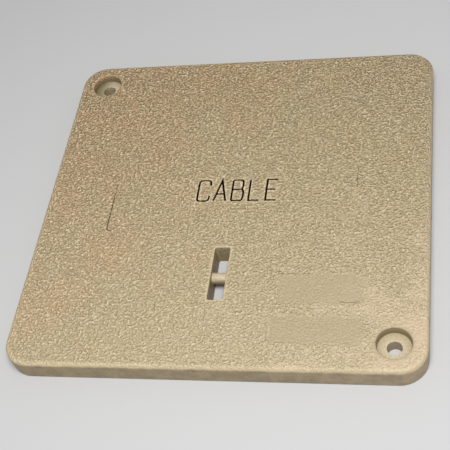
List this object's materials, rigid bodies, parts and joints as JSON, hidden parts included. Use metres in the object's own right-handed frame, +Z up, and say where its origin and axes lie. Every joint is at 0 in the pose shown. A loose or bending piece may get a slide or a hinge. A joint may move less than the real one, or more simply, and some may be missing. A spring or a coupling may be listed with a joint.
{
  "type": "cable pit cover",
  "caption": "Flat square cover for a cable pit, cast in one piece, with rounded corners, sunk bolt seats at opposite corners and a lifting slot crossed by a round bar.",
  "frame": {"origin": "middle of the underside, on the plane that rests on the pit's ledge", "axes": "+Z up through the thickness to the walking face, +X to the right and +Y to the back, with the lifting slot on the Y axis near the front side"},
  "size_m": [0.3332, 0.3332, 0.0191],
  "materials": {
    "casting": "matte tan polymer concrete, pebbled on the walking face"
  },
  "bodies": {
    "root": {"cover": "casting"}
  },
  "joints": []
}
